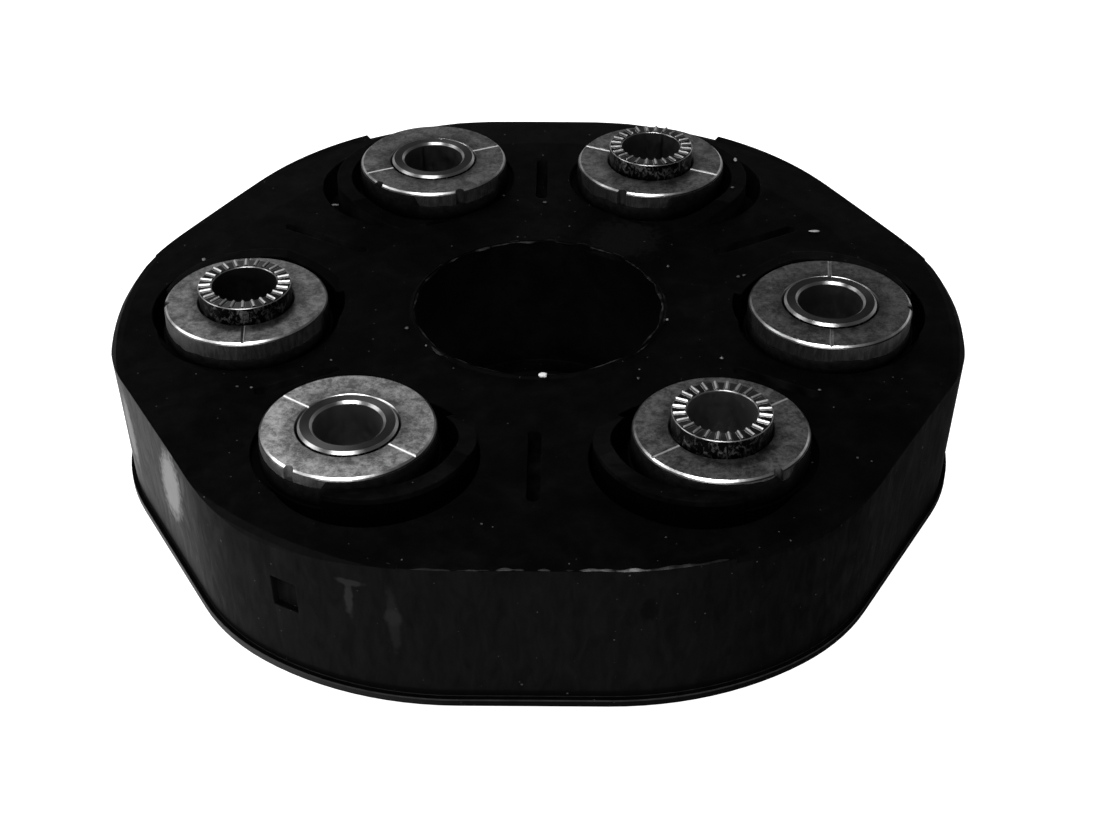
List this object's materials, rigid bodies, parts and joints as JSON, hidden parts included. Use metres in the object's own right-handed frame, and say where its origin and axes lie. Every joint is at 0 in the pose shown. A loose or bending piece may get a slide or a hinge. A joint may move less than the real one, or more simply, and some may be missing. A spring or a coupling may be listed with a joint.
{
  "type": "drive shaft flex joint",
  "caption": "Moulded rubber coupling disc with steel bolt sleeves and collars, tied in pairs by inner cord packs, for joining two drive shaft flanges.",
  "frame": {"origin": "on the axis of the centre hole, halfway up the rubber's wall", "axes": "+Z along the centre hole's axis to the side where bushes 1, 3 and 5 stand proud; +Y to the middle of a close pair of bushes"},
  "size_m": [0.1612, 0.154, 0.0441],
  "materials": {
    "rubber": "matte moulded",
    "collar_steel": "matte etched",
    "sleeve_steel": "turned",
    "cord": "wound polyester cord"
  },
  "bodies": {
    "root": {"rubber_body": "rubber", "sleeve_1": "sleeve_steel", "collar_top_1": "collar_steel", "collar_bottom_1": "collar_steel", "sleeve_2": "sleeve_steel", "collar_top_2": "collar_steel", "collar_bottom_2": "collar_steel", "sleeve_3": "sleeve_steel", "collar_top_3": "collar_steel", "collar_bottom_3": "collar_steel", "sleeve_4": "sleeve_steel", "collar_top_4": "collar_steel", "collar_bottom_4": "collar_steel", "sleeve_5": "sleeve_steel", "collar_top_5": "collar_steel", "collar_bottom_5": "collar_steel", "sleeve_6": "sleeve_steel", "collar_top_6": "collar_steel", "collar_bottom_6": "collar_steel", "cord_close_upper_1": "cord", "cord_close_lower_1": "cord", "cord_far_1": "cord", "cord_close_upper_2": "cord", "cord_close_lower_2": "cord", "cord_far_2": "cord", "cord_close_upper_3": "cord", "cord_close_lower_3": "cord", "cord_far_3": "cord"}
  },
  "joints": []
}
